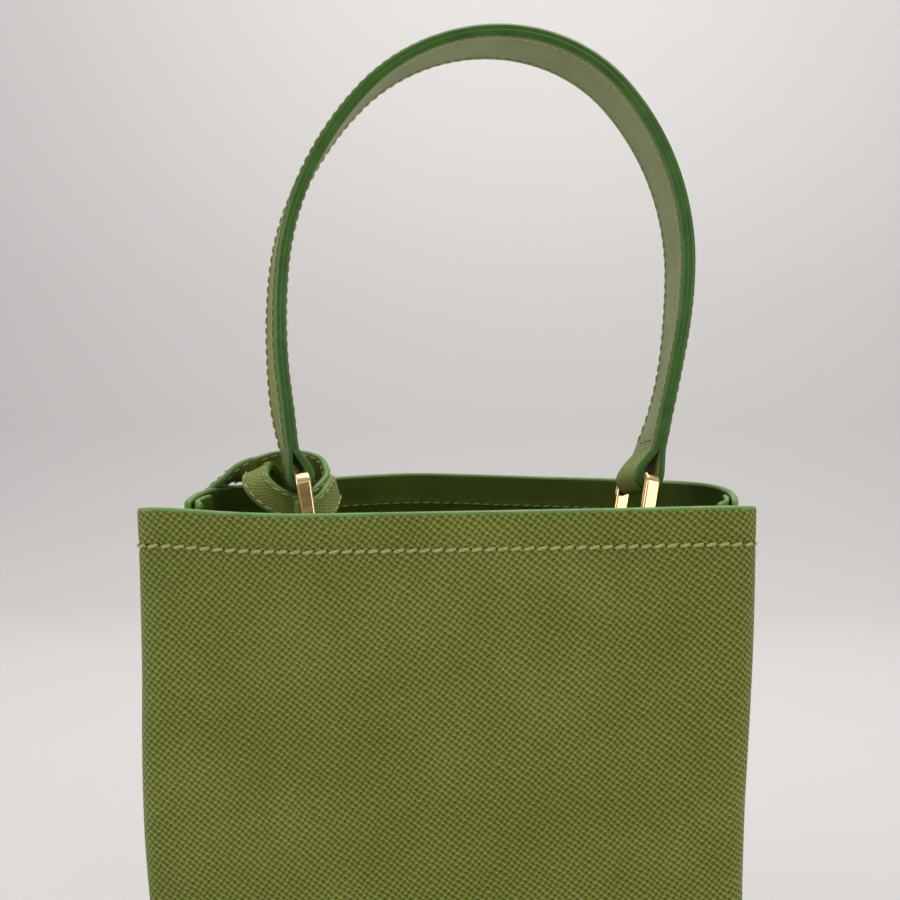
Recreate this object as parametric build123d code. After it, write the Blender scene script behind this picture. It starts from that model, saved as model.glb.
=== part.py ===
from build123d import *
import os
from math import asin, cos, degrees, radians, sin, sqrt, tan

# A small structured bucket bag in cross-grain leather: two wrapped panels, folded side gussets,
# a sewn-in base, one arched handle on two metal rings, and a knotted lanyard with a key tag.
# Millimetres. +X right, -Y the plain front, +Z up. Origin under the middle of the base.

# ---- body ----
RIM_Z = 205.0
RIM_W, RIM_D = 190.0, 96.0
BASE_W, BASE_D = 180.0, 90.0
CORNER_R = 21.0
PANEL_FOOT_Z = 3.0
OUTER_T, BOARD_T, LINING_T = 1.1, 0.5, 0.7
PANEL_T = OUTER_T + BOARD_T + LINING_T
FRONT_END_Y, REAR_END_Y = -18.0, -8.0  # where the front and rear panels' wrapped ends stop

# ---- base ----
BASE_PANEL_T, BASE_BOARD_T, BASE_LINING_T = 2.0, 2.0, 0.7
BASE_PANEL_Z = 4.0
BASE_BOARD_Z = BASE_PANEL_Z + BASE_PANEL_T
WASHER_T = 0.6
BASE_TOP_Z = BASE_BOARD_Z + BASE_BOARD_T
BASE_LINING_Z = BASE_TOP_Z + WASHER_T + 0.2
FOOT_R, FOOT_STEM_R, WASHER_R = 5.5, 1.5, 4.0
FOOT_X, FOOT_Y = 68.0, 28.0

# ---- gussets ----
GUSSET_T, GUSSET_LINING_T = 0.9, 0.6
GUSSET_FOOT_Z = BASE_LINING_Z + BASE_LINING_T + 0.3
GUSSET_REAR_FLANGE, GUSSET_FRONT_FLANGE = 12.0, 6.0
GUSSET_TIP_Y, GUSSET_FOLD_HALF = -4.0, 2.0
GUSSET_TIP_RIM_X, GUSSET_TIP_BASE_X = 54.0, 78.0
GUSSET_END_DROP = 4.0
GUSSET_DIP = 34.0
GUSSET_DIP_X = 78.0

# ---- handle, rings and tabs: drawn upright, then leaned back about the flex line ----
FLEX_Y, FLEX_Z = -4.0, RIM_Z - 26.0
LEAN = 12.0
SKEW = 22.0  # the strap's far edge lies this much to the left
STRAP_W = 18.0
PLY_T, CORE_T = 1.9, 0.5
STRAP_T = 2 * PLY_T + CORE_T
ARCH_RISE, ARCH_HALF_W = 173.5, 74.6
ARCH_TOP_R, ARCH_TOP_ANGLE, ARCH_LEG_R = 64.0, 50.0, 232.0
LEG_END_RISE, LOOP_HOLLOW_RISE = 13.5, 11.3
BAR_X, BAR_RISE = 61.5, 4.5
RING_H, RING_W = 26.0, 28.0
RING_BAND, RING_T, RING_CORNER_R = 5.0, 3.0, 5.0
RING_EDGE_R = 0.7
RING_SLOPE = 0.19  # a ring's sideways lean, outwards at its top
BAR_GAP_R = 3.1
TAB_W, TAB_T = 15.0, 1.4
TAB_FOOT_RISE = FLEX_Z - RIM_Z + 0.6
PATCH_L, PATCH_W, PATCH_T = 24.0, 15.0, 1.2
PATCH_DROP = 7.0  # from the flex line to the patch's top

# ---- lanyard and key tag ----
LANYARD_W, LANYARD_T = 9.5, 2.4
KNOT_RX, KNOT_RY, KNOT_R = 12.6, 18.4, 3.2
KNOT_RISE = -1.0
STRAND_YAW = 20.0  # the strand heads left and this much to the rear
STRAND_START = (-77.0, 3.0)
STRAND_RIM_GAP = 5.5
TAG_L, TAG_W, TAG_PLY_T = 54.0, 30.0, 1.5
TAG_RING_R, TAG_WIRE_R = 5.0, 0.9
TAG_RING_GAP = 1.5
TAG_HOLE_R, TAG_HOLE_DROP = 2.4, 4.0
TAG_TOP_R, TAG_SHOULDER_R, TAG_SHOULDER_DROP, TAG_FOOT_R = 4.5, 4.0, 16.0, 6.0


def plan_size(z):
    """Outer width and depth of the body at height z."""
    share = (z - PANEL_FOOT_Z) / (RIM_Z - PANEL_FOOT_Z)
    return BASE_W + (RIM_W - BASE_W) * share, BASE_D + (RIM_D - BASE_D) * share


def plan_face(z, inset):
    """The body's rounded outline at height z, moved in by inset."""
    width, depth = plan_size(z)
    outline = RectangleRounded(width - 2 * inset, depth - 2 * inset, CORNER_R - inset)
    return Pos(0, 0, z) * outline


def plan_block(z_low, z_high, inset):
    return loft([plan_face(z_low, inset).face(), plan_face(z_high, inset).face()], ruled=True)


def wall(inset, thickness):
    """A closed tapered wall, open above and below."""
    skin = plan_block(PANEL_FOOT_Z, RIM_Z, inset)
    room = plan_block(PANEL_FOOT_Z, RIM_Z, inset + thickness)
    return skin - room


def split_wall(inset, thickness):
    """The front and rear parts of a wall, each with its two wrapped ends."""
    whole = wall(inset, thickness)
    front_box = Pos(0, FRONT_END_Y - RIM_D / 2, RIM_Z / 2) * Box(2 * RIM_W, RIM_D, 2 * RIM_Z)
    rear_box = Pos(0, REAR_END_Y + RIM_D, RIM_Z / 2) * Box(2 * RIM_W, 2 * RIM_D, 2 * RIM_Z)
    return whole & front_box, whole & rear_box


def offset_points(points, distance):
    """An open polyline moved sideways by distance, with mitred corners."""
    moved = []
    for i, point in enumerate(points):
        sides = []
        for a, b in ((i - 1, i), (i, i + 1)):
            if a >= 0 and b < len(points):
                run = (Vector(points[b]) - Vector(points[a])).normalized()
                sides.append(Vector(-run.Y, run.X))
        middle = (sides[0] + sides[-1]).normalized()
        step = distance / middle.dot(sides[0])
        moved.append((point[0] + middle.X * step, point[1] + middle.Y * step))
    return moved


def gusset_section(z, tip_x, near, far):
    """The folded gusset's section at height z, between two distances from its outer face."""
    wall_x = -plan_size(z)[0] / 2 + PANEL_T
    line = [
        (wall_x, REAR_END_Y + GUSSET_REAR_FLANGE),
        (wall_x, REAR_END_Y),
        (-tip_x, GUSSET_TIP_Y + GUSSET_FOLD_HALF),
        (-tip_x, GUSSET_TIP_Y - GUSSET_FOLD_HALF),
        (wall_x, FRONT_END_Y),
        (wall_x, FRONT_END_Y - GUSSET_FRONT_FLANGE),
    ]
    loop = offset_points(line, near) + offset_points(line, far)[::-1]
    return Pos(0, 0, z) * make_face(Polyline(*loop, close=True))


def gusset_layer(near, far):
    top_z = RIM_Z - GUSSET_END_DROP
    low = gusset_section(GUSSET_FOOT_Z, GUSSET_TIP_BASE_X, near, far)
    high = gusset_section(top_z, GUSSET_TIP_RIM_X, near, far)
    layer = loft([low.face(), high.face()], ruled=True)
    # the top edge drops inwards, so that the fold stays under the rings
    dip = Polyline(
        (-GUSSET_DIP_X, RIM_Z - GUSSET_DIP),
        (-GUSSET_DIP_X - 12, RIM_Z + 1),
        (0, RIM_Z + 1),
        (0, RIM_Z - GUSSET_DIP),
        close=True,
    )
    cut = extrude(Plane.XZ * make_face(dip), amount=RIM_D, both=True)
    return layer - cut


def feet_places():
    return [(x, y) for x in (-FOOT_X, FOOT_X) for y in (-FOOT_Y, FOOT_Y)]


def foot():
    """A domed metal stud with the stem that goes through the base."""
    slab = Pos(0, 0, BASE_PANEL_Z / 2) * Box(4 * FOOT_R, 4 * FOOT_R, BASE_PANEL_Z)
    dome = Pos(0, 0, BASE_PANEL_Z) * Sphere(FOOT_R) & slab
    stem_h = BASE_TOP_Z + WASHER_T - BASE_PANEL_Z + 0.1
    return dome + Pos(0, 0, BASE_PANEL_Z + stem_h / 2) * Cylinder(FOOT_STEM_R, stem_h)


def base_layer(z, thickness, inset, holed):
    layer = extrude(plan_face(z, inset), amount=thickness)
    if holed:
        for x, y in feet_places():
            layer -= Pos(x, y, z) * Cylinder(FOOT_STEM_R, 4 * thickness)
    return layer


def washer():
    disc = Cylinder(WASHER_R, WASHER_T) - Cylinder(FOOT_STEM_R, WASHER_T)
    return Pos(0, 0, BASE_TOP_Z + WASHER_T / 2) * disc


def leaned(shape):
    """Leans an upright handle part back about the tabs' flex line."""
    axis = Axis((0, FLEX_Y, FLEX_Z), (1, 0, 0))
    return shape.rotate(axis, -LEAN)


STRAP_DIR = Vector(-sin(radians(SKEW)), cos(radians(SKEW)), 0)
LEG_CENTRE_X = ARCH_HALF_W - ARCH_LEG_R
SHOULDER_R = (ARCH_HALF_W - ARCH_TOP_R * sin(radians(ARCH_TOP_ANGLE))) / (
    1 - sin(radians(ARCH_TOP_ANGLE))
)
SHOULDER_X = ARCH_HALF_W - SHOULDER_R
TOP_RISE = ARCH_RISE - ARCH_TOP_R
SHOULDER_RISE = TOP_RISE - (SHOULDER_R - ARCH_TOP_R) * cos(radians(ARCH_TOP_ANGLE))


def arch_points(offset):
    """Points along one side of the arch, from the leg's end to the crown, moved out by offset.
    Neighbouring points two apart are joined by an arc through the one between."""
    def on(centre_x, centre_rise, radius, angle):
        reach = radius + offset
        return centre_x + reach * cos(radians(angle)), centre_rise + reach * sin(radians(angle))

    leg_angle = -degrees(asin((SHOULDER_RISE - LEG_END_RISE) / ARCH_LEG_R))
    shoulder_angle = 90 - ARCH_TOP_ANGLE
    return [
        on(LEG_CENTRE_X, SHOULDER_RISE, ARCH_LEG_R, leg_angle),
        on(LEG_CENTRE_X, SHOULDER_RISE, ARCH_LEG_R, leg_angle / 2),
        on(LEG_CENTRE_X, SHOULDER_RISE, ARCH_LEG_R, 0),
        on(SHOULDER_X, SHOULDER_RISE, SHOULDER_R, shoulder_angle / 2),
        on(SHOULDER_X, SHOULDER_RISE, SHOULDER_R, shoulder_angle),
        on(0, TOP_RISE, ARCH_TOP_R, (90 + shoulder_angle) / 2),
        on(0, TOP_RISE, ARCH_TOP_R, 90),
    ]


def arch_line(offset):
    """The whole arch, left leg to right leg, as tangent arcs."""
    right = arch_points(offset)
    points = [(-x, z) for x, z in right] + right[-2::-1]
    return [ThreePointArc(*points[i : i + 3]) for i in range(0, len(points) - 1, 2)], points


def strap_solid(profile):
    """A profile in the arch's own upright plane, swept sideways by the strap's width."""
    face = Plane((0, FLEX_Y, RIM_Z), x_dir=(1, 0, 0), z_dir=(0, -1, 0)) * profile
    return extrude(face, amount=STRAP_W / 2, dir=STRAP_DIR, both=True)


def arch_band(low, high):
    inner, inner_points = arch_line(low)
    outer, outer_points = arch_line(high)
    ends = [Line(inner_points[0], outer_points[0]), Line(inner_points[-1], outer_points[-1])]
    return make_face(inner + outer + ends)


def leg_loop(side):
    """The teardrop that the strap makes round a ring's top bar."""
    out_x, out_rise = arch_points(STRAP_T / 2)[0]
    in_x, in_rise = arch_points(-STRAP_T / 2)[0]
    bar = Pos(side * BAR_X, BAR_RISE)
    leg_end = Line((side * in_x, in_rise), (side * out_x, out_rise))
    outline = make_hull((bar * Circle(BAR_GAP_R + PLY_T)).edges() + [leg_end.edge()])
    leg_share = (LOOP_HOLLOW_RISE - BAR_RISE) / (LEG_END_RISE - BAR_RISE)
    mid_x = BAR_X + ((in_x + out_x) / 2 - BAR_X) * leg_share
    notch = Line(
        (side * (mid_x - 0.15), LOOP_HOLLOW_RISE), (side * (mid_x + 0.15), LOOP_HOLLOW_RISE)
    )
    hollow = make_hull((bar * Circle(BAR_GAP_R)).edges() + [notch.edge()])
    return outline - hollow


def handle_outer_ply():
    profile = arch_band(CORE_T / 2, STRAP_T / 2) + leg_loop(-1) + leg_loop(1)
    return leaned(strap_solid(profile))


def handle_layer(low, high):
    return leaned(strap_solid(arch_band(low, high)))


def ring_direction(side):
    """From a ring's bottom bar to its top bar."""
    return Vector(side * RING_SLOPE, 0, 1).normalized()


def ring_bars(side):
    """The middles of a ring's top and bottom bars, upright."""
    top = Vector(side * BAR_X, FLEX_Y, RIM_Z + BAR_RISE)
    return top, top - ring_direction(side) * (RING_H - RING_T)


def ring(side):
    """A flat-band metal ring, a rounded rectangle seen from the side of the bag."""
    top, bottom = ring_bars(side)
    middle = (top + bottom) * 0.5
    across = STRAP_DIR
    normal = across.cross(ring_direction(side)).normalized()
    outline = RectangleRounded(RING_W, RING_H, RING_CORNER_R)
    room = RectangleRounded(
        RING_W - 2 * RING_T, RING_H - 2 * RING_T, RING_CORNER_R - RING_T
    )
    band = extrude(outline - room, amount=RING_BAND / 2, both=True)
    band = fillet(band.edges(), RING_EDGE_R)
    return leaned(Plane(middle, x_dir=across, z_dir=normal) * band)


def tab_frame(side):
    """A plane across a tab: x away from the bag's middle, y up, at the ring's bottom bar."""
    bottom = ring_bars(side)[1]
    across = Vector(cos(radians(SKEW)), sin(radians(SKEW)), 0)
    return Plane(bottom, x_dir=across, z_dir=across.cross(Vector(0, 0, 1)))


def tab(side):
    """A leather tab folded round a ring's bottom bar, down to the flex line."""
    drop = ring_bars(side)[1].Z - RIM_Z - TAB_FOOT_RISE
    foot_line = Line((-TAB_T, -drop), (TAB_T, -drop))
    eye = Circle(BAR_GAP_R + TAB_T)
    outline = make_hull(eye.edges() + [foot_line.edge()])
    profile = outline - Circle(BAR_GAP_R)
    return leaned(extrude(tab_frame(side) * profile, amount=TAB_W / 2, both=True))


def tab_patch(side):
    """The tab's lower end, sewn over the gusset's folded edge."""
    top_z = FLEX_Z - PATCH_DROP
    share = (top_z - GUSSET_FOOT_Z) / (RIM_Z - GUSSET_END_DROP - GUSSET_FOOT_Z)
    tip_x = GUSSET_TIP_BASE_X + (GUSSET_TIP_RIM_X - GUSSET_TIP_BASE_X) * share
    inner_x = tip_x - GUSSET_T - GUSSET_LINING_T - PATCH_T / 2 - 0.05
    patch = Box(PATCH_T, PATCH_W, PATCH_L)
    patch = fillet(patch.edges().filter_by(Axis.X), 3)
    return Pos(side * inner_x, GUSSET_TIP_Y, top_z - PATCH_L / 2) * patch


def lanyard_knot():
    """The lanyard's turns round the left ring, as one oval hoop."""
    bar_top, bar_bottom = ring_bars(-1)
    share = (RIM_Z + KNOT_RISE - bar_bottom.Z) / (bar_top.Z - bar_bottom.Z)
    middle = bar_bottom + (bar_top - bar_bottom) * share
    across = Vector(cos(radians(SKEW)), sin(radians(SKEW)), 0)
    path = Plane(middle, x_dir=across, z_dir=(0, 0, 1)) * Ellipse(KNOT_RX, KNOT_RY).edge()
    start = path.position_at(0)
    section = Plane(start, z_dir=path.tangent_at(0)) * Circle(KNOT_R)
    return leaned(sweep(section, path=path))


STRAND_DIR = Vector(-cos(radians(STRAND_YAW)), sin(radians(STRAND_YAW)), 0)


def strand_route():
    """The strand in its own upright plane: distance along, then height. It leaves the knot, goes
    over the rim and hangs down the outside of the bag."""
    rim_along = (RIM_W / 2 + STRAND_START[0]) / cos(radians(STRAND_YAW))
    return [
        (0, RIM_Z + 9),
        (rim_along + STRAND_RIM_GAP, RIM_Z + 6.5),
        (rim_along + STRAND_RIM_GAP + 1.1, RIM_Z - 19),
        (rim_along + STRAND_RIM_GAP + 0.3, RIM_Z - 44),
    ]


def route_radii(points):
    """Each corner's radius: 0.45 of its shorter run, divided by the tangent of half its turn."""
    radii = []
    for before, corner, after in zip(points, points[1:], points[2:]):
        run_in = Vector(*corner) - Vector(*before)
        run_out = Vector(*after) - Vector(*corner)
        half_turn = radians(run_in.get_angle(run_out) / 2)
        radii.append(0.45 * min(run_in.length, run_out.length) / tan(half_turn))
    return radii


def strand_plane():
    start = Vector(STRAND_START[0], STRAND_START[1], 0)
    return Plane(start, x_dir=STRAND_DIR, z_dir=STRAND_DIR.cross(Vector(0, 0, 1)))


def lanyard_strand():
    """A flat strap: its cross-section, swept along straight runs and tangent arcs."""
    route = strand_route()
    radii = route_radii(route)
    print("strand radii", [round(r, 1) for r in radii])
    upright = strand_plane()
    path = upright * FilletPolyline(*route, radius=radii)
    start = Plane(path.position_at(0), x_dir=upright.z_dir, z_dir=path.tangent_at(0))
    print("strand length", round(path.length, 1))
    return sweep(start * Rectangle(LANYARD_W, LANYARD_T), path=path)


def strand_end():
    along, height = strand_route()[-1]
    return Vector(STRAND_START[0], STRAND_START[1], 0) + STRAND_DIR * along + Vector(0, 0, height)


def tag_ring_middle():
    return strand_end() - Vector(0, 0, TAG_RING_GAP + TAG_WIRE_R + TAG_RING_R)


def tag_ring():
    """The round ring between the strand's end and the tag, square to the bag's side."""
    return Plane(tag_ring_middle(), z_dir=(0, 1, 0)) * Torus(TAG_RING_R, TAG_WIRE_R)


def tag_ply(side):
    """One leather face of the tag, with rounded corners and its top narrowed to the ring."""
    half = TAG_W / 2
    circles = [
        (0, -TAG_HOLE_DROP, TAG_TOP_R),
        (-half + TAG_SHOULDER_R, -TAG_SHOULDER_DROP, TAG_SHOULDER_R),
        (half - TAG_SHOULDER_R, -TAG_SHOULDER_DROP, TAG_SHOULDER_R),
        (-half + TAG_FOOT_R, -TAG_L + TAG_FOOT_R, TAG_FOOT_R),
        (half - TAG_FOOT_R, -TAG_L + TAG_FOOT_R, TAG_FOOT_R),
    ]
    edges = [e for x, y, r in circles for e in (Pos(x, y) * Circle(r)).edges()]
    outline = make_hull(edges) - Pos(0, -TAG_HOLE_DROP) * Circle(TAG_HOLE_R)
    top = tag_ring_middle() + Vector(0, 0, TAG_HOLE_DROP - TAG_RING_R)
    place = Plane(top, x_dir=(0, 1, 0), z_dir=(1, 0, 0))
    return extrude(place * outline, amount=side * TAG_PLY_T)


def build_nodes():
    front_leather, rear_leather = split_wall(0, OUTER_T)
    front_board, rear_board = split_wall(OUTER_T, BOARD_T)
    front_lining, rear_lining = split_wall(OUTER_T + BOARD_T, LINING_T)
    inset = PANEL_T + 0.1
    gusset = gusset_layer(0, GUSSET_T)
    gusset_lining = gusset_layer(GUSSET_T, GUSSET_T + GUSSET_LINING_T)
    half_core = CORE_T / 2
    nodes = {
        "front_panel": front_leather,
        "front_stiffener": front_board,
        "front_lining": front_lining,
        "rear_panel": rear_leather,
        "rear_stiffener": rear_board,
        "rear_lining": rear_lining,
        "base_panel": base_layer(BASE_PANEL_Z, BASE_PANEL_T, inset, True),
        "base_board": base_layer(BASE_BOARD_Z, BASE_BOARD_T, inset, True),
        "base_lining": base_layer(BASE_LINING_Z, BASE_LINING_T, inset, False),
        "base_feet": Compound([Pos(x, y, 0) * foot() for x, y in feet_places()]),
        "foot_washers": Compound([Pos(x, y, 0) * washer() for x, y in feet_places()]),
        "left_gusset": gusset,
        "left_gusset_lining": gusset_lining,
        "right_gusset": mirror(gusset, about=Plane.YZ),
        "right_gusset_lining": mirror(gusset_lining, about=Plane.YZ),
        "handle_outer_ply": handle_outer_ply(),
        "handle_core": handle_layer(-half_core, half_core),
        "handle_inner_ply": handle_layer(-STRAP_T / 2, -half_core),
        "lanyard_knot": lanyard_knot(),
        "lanyard_strand": lanyard_strand(),
        "tag_ring": tag_ring(),
        "tag_outer_ply": tag_ply(-1),
        "tag_inner_ply": tag_ply(1),
    }
    for name, side in (("left", -1), ("right", 1)):
        nodes[name + "_ring"] = ring(side)
        nodes[name + "_tab"] = tab(side)
        nodes[name + "_tab_patch"] = tab_patch(side)
    return nodes


def main():
    os.makedirs("parts", exist_ok=True)
    for name, shape in build_nodes().items():
        export_step(shape, f"parts/{name}.step")


main()
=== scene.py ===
import math

import bmesh
import bpy
import numpy as np
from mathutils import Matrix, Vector


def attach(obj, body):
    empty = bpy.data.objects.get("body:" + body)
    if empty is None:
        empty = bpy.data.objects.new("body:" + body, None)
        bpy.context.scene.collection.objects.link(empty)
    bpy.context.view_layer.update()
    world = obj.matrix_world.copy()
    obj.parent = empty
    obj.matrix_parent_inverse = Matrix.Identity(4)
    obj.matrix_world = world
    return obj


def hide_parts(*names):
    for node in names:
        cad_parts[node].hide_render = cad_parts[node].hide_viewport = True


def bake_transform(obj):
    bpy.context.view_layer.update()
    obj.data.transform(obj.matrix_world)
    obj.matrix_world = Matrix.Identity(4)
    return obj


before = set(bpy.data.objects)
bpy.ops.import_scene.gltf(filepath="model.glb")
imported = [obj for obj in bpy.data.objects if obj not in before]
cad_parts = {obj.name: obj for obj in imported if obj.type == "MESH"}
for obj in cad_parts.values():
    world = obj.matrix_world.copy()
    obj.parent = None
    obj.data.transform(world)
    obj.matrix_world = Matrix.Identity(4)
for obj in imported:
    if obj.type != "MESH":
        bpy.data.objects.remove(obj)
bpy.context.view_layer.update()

# A structured bucket bag: cross-grain leather panels with painted edges, folded gussets, an
# arched handle on two metal rings, and a knotted lanyard with a key tag.
# Lengths are in millimetres here and become metres in Piece.make.

MM = 0.001
RIM_Z = 205.0
FLEX_Y, FLEX_Z = -4.0, 179.0
LEAN = 12.0
RNG = np.random.RandomState(11)


def unit(v):
    return v / np.maximum(np.linalg.norm(v, axis=-1, keepdims=True), 1e-9)


def distances(line):
    """How far along a polyline each of its points lies."""
    return np.concatenate([[0], np.cumsum(np.linalg.norm(np.diff(line, axis=0), axis=1))])


def smooth(x, low, high):
    share = np.clip((x - low) / (high - low), 0, 1)
    return share * share * (3 - 2 * share)


# ---------------------------------------------------------------- camera, light and floor

def make_camera():
    camera = bpy.data.objects.new("camera", bpy.data.cameras.new("camera"))
    bpy.context.scene.collection.objects.link(camera)
    camera.location = (0.0446, -0.349, 0.2452)
    camera.rotation_euler = (math.radians(90 - 4.22), 0, 0)
    camera.data.sensor_width = 36
    camera.data.lens = 39.1
    camera.data.shift_x = -0.158
    camera.data.clip_start = 0.01
    bpy.context.scene.camera = camera


def area_light(name, place, target, size, power, colour=(1, 1, 1)):
    light = bpy.data.lights.new(name, "AREA")
    light.shape = "RECTANGLE"
    light.size, light.size_y = size
    light.energy = power
    light.color = colour
    lamp = bpy.data.objects.new(name, light)
    bpy.context.scene.collection.objects.link(lamp)
    lamp.location = place
    lamp.rotation_mode = "QUATERNION"
    lamp.rotation_quaternion = (Vector(target) - Vector(place)).to_track_quat("-Z", "Y")


def make_lights():
    area_light("overhead", (0.1, 0.25, 1.5), (0, 0.05, 0.1), (1.3, 1.0), 15, (1, 0.985, 0.97))
    area_light("left_window", (-1.3, -0.5, 0.7), (0, 0, 0.2), (0.9, 0.9), 6.0, (0.97, 0.98, 1))
    area_light("right_soft", (1.3, -0.8, 0.8), (0, 0, 0.2), (0.9, 0.9), 5.0, (1, 0.99, 0.97))


def make_world():
    """A grey room, lighter overhead, with soft dark shapes on the viewer's side for the metal."""
    world = bpy.data.worlds.new("room")
    bpy.context.scene.world = world
    n = Nodes(world)
    direction = n.add("ShaderNodeTexCoord").outputs["Generated"]
    axes = n.add("ShaderNodeSeparateXYZ")
    n.put(direction, axes.inputs[0])
    ramp = n.add("ShaderNodeValToRGB")
    n.put(n.times_plus(axes.outputs["Z"], 0.5, 0.5), ramp.inputs[0])
    low, high = ramp.color_ramp.elements
    low.position, low.color = 0.44, (0.30, 0.29, 0.28, 1)
    high.position, high.color = 0.72, (0.78, 0.77, 0.76, 1)
    blend = n.add("ShaderNodeMix", data_type="FLOAT")
    n.put(n.spread(axes.outputs["Y"], -0.35, 0.1), blend.inputs["Factor"])
    n.put(n.spread(n.noise(direction, 3.2, 1.0), 0.40, 0.60, 0.42, 1.35), blend.inputs["A"])
    n.put(1.0, blend.inputs["B"])
    shade = n.mix(1.0, ramp.outputs["Color"], blend.outputs["Result"])
    shade.node.blend_type = "MULTIPLY"
    n.put(shade, n.shader.inputs["Color"])
    n.shader.inputs["Strength"].default_value = 0.62


def make_stage():
    """A seamless floor that curves up into a backdrop."""
    section = [(-4.0, 0.0), (0.45, 0.0)]
    section += [
        (0.45 + 0.9 * math.sin(a), 0.9 - 0.9 * math.cos(a))
        for a in np.linspace(0.08, math.pi / 2, 16)
    ]
    section += [(1.35, 3.2)]
    points, faces = [], []
    for y, z in section:
        points += [(-3.5, y, z), (3.5, y, z)]
    for i in range(len(section) - 1):
        faces.append((2 * i, 2 * i + 1, 2 * i + 3, 2 * i + 2))
    data = bpy.data.meshes.new("backdrop")
    data.from_pydata(points, [], faces)
    data.polygons.foreach_set("use_smooth", [True] * len(faces))
    floor = bpy.data.objects.new("backdrop", data)
    bpy.context.scene.collection.objects.link(floor)
    paper = Nodes(bpy.data.materials.new("paper"))
    axes = paper.add("ShaderNodeSeparateXYZ")
    ramp = paper.add("ShaderNodeValToRGB")
    paper.put(paper.add("ShaderNodeTexCoord").outputs["Object"], axes.inputs[0])
    paper.put(axes.outputs["Z"], ramp.inputs[0])
    # the paper is painted by height: a lighter floor, painted shade in the bend and painted light
    # growing up the wall
    stops = ramp.color_ramp.elements
    stops[0].position, stops[1].position = 0.0, 0.88
    for height in (0.014, 0.07, 0.18, 0.37, 0.62):
        stops.new(height)
    for stop, grey in zip(stops, (0.68, 0.615, 0.585, 0.57, 0.65, 0.79, 0.93)):
        stop.color = (grey, grey * 0.976, grey * 0.972, 1)
    data.materials.append(paper.finish(ramp.outputs["Color"], 0.9, 0.1))


# ---------------------------------------------------------------- materials

GRAIN_PERIOD = 1.7
GRAIN_A, GRAIN_B = (0.58, 0.81), (0.79, -0.62)


class Nodes:
    """The node tree of a material or of the world, with short calls for the nodes used here."""

    def __init__(self, owner):
        owner.use_nodes = True
        self.owner, self.tree = owner, owner.node_tree
        self.shader = self.tree.nodes.get("Principled BSDF") or self.tree.nodes["Background"]

    def add(self, kind, **settings):
        node = self.tree.nodes.new(kind)
        for key, value in settings.items():
            setattr(node, key, value)
        return node

    def put(self, value, socket):
        if isinstance(value, bpy.types.NodeSocket):
            self.tree.links.new(value, socket)
        else:
            socket.default_value = value

    def math(self, operation, a, b=0.0, clamp=False):
        node = self.add("ShaderNodeMath", operation=operation, use_clamp=clamp)
        self.put(a, node.inputs[0])
        self.put(b, node.inputs[1])
        return node.outputs[0]

    def times_plus(self, value, factor, addend):
        result = self.math("MULTIPLY_ADD", value, factor)
        result.node.inputs[2].default_value = addend
        return result

    def dot(self, vector, direction):
        node = self.add("ShaderNodeVectorMath", operation="DOT_PRODUCT")
        self.put(vector, node.inputs[0])
        node.inputs[1].default_value = direction
        return node.outputs["Value"]

    def mix(self, share, a, b):
        node = self.add("ShaderNodeMix", data_type="RGBA")
        self.put(share, node.inputs[0])
        self.put(a, node.inputs[6])
        self.put(b, node.inputs[7])
        return node.outputs[2]

    def noise(self, vector, scale, detail=2.0):
        node = self.add("ShaderNodeTexNoise")
        self.put(vector, node.inputs["Vector"])
        node.inputs["Scale"].default_value = scale
        node.inputs["Detail"].default_value = detail
        return node.outputs["Fac"]

    def spread(self, value, low, high, to_low=0.0, to_high=1.0):
        node = self.add("ShaderNodeMapRange")
        self.put(value, node.inputs[0])
        for i, number in enumerate((low, high, to_low, to_high)):
            node.inputs[i + 1].default_value = number
        return node.outputs[0]

    def bump(self, height, distance, strength=1.0):
        node = self.add("ShaderNodeBump")
        self.put(height, node.inputs["Height"])
        node.inputs["Distance"].default_value = distance
        node.inputs["Strength"].default_value = strength
        self.tree.links.new(node.outputs[0], self.shader.inputs["Normal"])

    def millimetres(self):
        """Object coordinates in millimetres."""
        place = self.add("ShaderNodeTexCoord")
        scaled = self.add("ShaderNodeVectorMath", operation="SCALE")
        self.tree.links.new(place.outputs["Object"], scaled.inputs[0])
        scaled.inputs["Scale"].default_value = 1 / MM
        return scaled.outputs[0]

    def finish(self, colour, roughness, specular=0.5):
        self.put(colour, self.shader.inputs["Base Color"])
        self.put(roughness, self.shader.inputs["Roughness"])
        self.shader.inputs["Specular IOR Level"].default_value = specular
        return self.owner


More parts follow.
